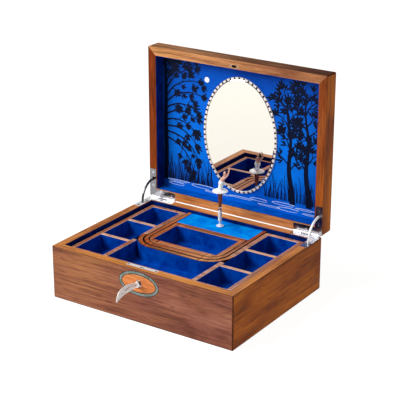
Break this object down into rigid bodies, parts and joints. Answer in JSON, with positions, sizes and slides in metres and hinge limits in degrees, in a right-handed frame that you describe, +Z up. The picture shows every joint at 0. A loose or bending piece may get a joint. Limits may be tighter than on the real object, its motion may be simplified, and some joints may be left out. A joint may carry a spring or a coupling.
{
  "type": "music box",
  "caption": "Rectangular wooden music jewellery box with mirrored hinged lid, lift-out suede-lined trays, quadrant hinges, lock and key, and a spinning dancer that folds away under the lid.",
  "frame": {"origin": "centre of the base's footprint, on the surface it stands on", "axes": "+Z up, +Y to the back where the hinges are, +X to the box's right seen from the front; the lid is drawn open at a right angle"},
  "size_m": [0.3, 0.3106, 0.3154],
  "materials": {
    "walnut": "satin lacquer over figured walnut veneer",
    "bare_wood": "sealed bare wood",
    "tray_wood": "pale sealed wood",
    "suede": "short blue suede nap",
    "felt": "dark felt",
    "chrome": "polished",
    "steel": "plain steel",
    "brass": "plain brass",
    "pearl_oval": "iridescent grey-green shell",
    "pearl_ring": "white shell with dark blocks",
    "mirror": "silvered glass",
    "painted_panel": "gloss blue painting of trees, reeds and water",
    "spring_white": "white coated steel coil",
    "doll_legs": "brown plastic",
    "doll_skirt": "white plastic",
    "doll_body": "painted plastic"
  },
  "bodies": {
    "base": {"base_front_wall": "walnut", "base_back_wall": "walnut", "base_left_wall": "walnut", "base_right_wall": "walnut", "base_bottom_panel": "bare_wood", "base_felt": "felt", "base_wall_lining": "suede", "base_floor_lining": "suede", "tray_ledges": "bare_wood", "housing_wall": "bare_wood", "platform_partition": "bare_wood", "platform_board": "bare_wood", "platform_suede": "suede", "inner_tray_cleats": "bare_wood", "front_inlay": "pearl_oval", "lock_case": "steel", "lock_top_plate": "chrome", "key_escutcheon": "chrome", "lock_screws": "chrome", "hinge_base_left": "chrome", "hinge_base_right": "chrome", "hinge_pins": "steel", "hinge_base_screws": "chrome", "movement_bedplate": "brass", "movement_comb": "steel"},
    "lid": {"lid_front_rail": "walnut", "lid_back_rail": "walnut", "lid_left_rail": "walnut", "lid_right_rail": "walnut", "lid_top_panel": "walnut", "lid_mural": "painted_panel", "lid_lining": "suede", "mirror_glass": "mirror", "mirror_ring": "pearl_ring", "lid_strike_plate": "steel", "hinge_lid_left": "chrome", "hinge_lid_right": "chrome", "hinge_lid_screws": "chrome"},
    "stay_left": {"stay_arm_left": "chrome"},
    "stay_right": {"stay_arm_right": "chrome"},
    "drive": {"drive_shaft": "chrome", "spring_barrel": "brass"},
    "dancer_stem": {"dancer_spring": "spring_white"},
    "dancer": {"dancer_legs": "doll_legs", "dancer_skirt": "doll_skirt", "dancer_body": "doll_body"},
    "cylinder": {"music_cylinder": "brass"},
    "governor": {"governor_fan": "steel"},
    "winder": {"winding_key": "brass"},
    "key": {"key_shank": "chrome", "key_bow": "chrome"},
    "bolt": {"lock_bolt": "steel"},
    "outer_tray": {"outer_tray_frame": "tray_wood", "outer_tray_curve": "tray_wood", "outer_tray_dividers": "tray_wood", "outer_tray_floor": "tray_wood", "outer_tray_lining": "suede"},
    "inner_tray": {"inner_tray_frame": "tray_wood", "inner_tray_floor": "tray_wood", "inner_tray_lining": "suede"}
  },
  "joints": [
    {"name": "lid_hinge", "type": "hinge", "parent": "base", "child": "lid", "pos_m": [0, 0.1182, 0.0797], "axis": [-1, 0, 0], "range_deg": [-90, 0]},
    {"name": "stay_left_swing", "type": "hinge", "parent": "base", "child": "stay_left", "pos_m": [0, 0.1182, 0.0797], "axis": [-1, 0, 0], "range_deg": [-59, 0]},
    {"name": "stay_right_swing", "type": "hinge", "parent": "base", "child": "stay_right", "pos_m": [0, 0.1182, 0.0797], "axis": [-1, 0, 0], "range_deg": [-59, 0]},
    {"name": "dancer_fold", "type": "hinge", "parent": "base", "child": "dancer_stem", "pos_m": [0, 0.0835, 0.087], "axis": [-1, 0, 0], "range_deg": [-100.5, 0]},
    {"name": "dancer_spin", "type": "hinge", "parent": "dancer_stem", "child": "dancer", "pos_m": [0, 0.0835, 0.11], "axis": [0, 0, 1], "continuous": true},
    {"name": "drive_spin", "type": "hinge", "parent": "base", "child": "drive", "pos_m": [0, 0.0835, 0.04], "axis": [0, 0, 1], "continuous": true},
    {"name": "cylinder_spin", "type": "hinge", "parent": "base", "child": "cylinder", "pos_m": [0.03, 0.0835, 0.0435], "axis": [1, 0, 0], "continuous": true},
    {"name": "governor_spin", "type": "hinge", "parent": "base", "child": "governor", "pos_m": [-0.023, 0.0835, 0.03], "axis": [0, 0, 1], "continuous": true},
    {"name": "winding_turn", "type": "hinge", "parent": "base", "child": "winder", "pos_m": [0, 0.0835, 0.01], "axis": [0, 0, 1], "continuous": true},
    {"name": "key_turn", "type": "hinge", "parent": "base", "child": "key", "pos_m": [0, -0.12, 0.0585], "axis": [0, 1, 0], "range_deg": [0, 90]},
    {"name": "bolt_slide", "type": "slide", "parent": "base", "child": "bolt", "axis": [0, 0, 1], "range_m": [0, 0.0055]},
    {"name": "outer_tray_lift", "type": "slide", "parent": "base", "child": "outer_tray", "axis": [0, 0, 1], "range_m": [0, 0.06]},
    {"name": "inner_tray_lift", "type": "slide", "parent": "base", "child": "inner_tray", "axis": [0, 0, 1], "range_m": [0, 0.05]}
  ],
  "couplings": [
    {"joint": "stay_left_swing", "follows": "lid_hinge", "ratio": 0.65},
    {"joint": "stay_right_swing", "follows": "lid_hinge", "ratio": 0.65},
    {"joint": "dancer_fold", "follows": "lid_hinge", "ratio": 1.1111},
    {"joint": "dancer_spin", "follows": "drive_spin", "ratio": 1},
    {"joint": "cylinder_spin", "follows": "drive_spin", "ratio": 3.72},
    {"joint": "governor_spin", "follows": "drive_spin", "ratio": -12},
    {"joint": "bolt_slide", "follows": "key_turn", "m_per_rad": 0.0035014}
  ]
}
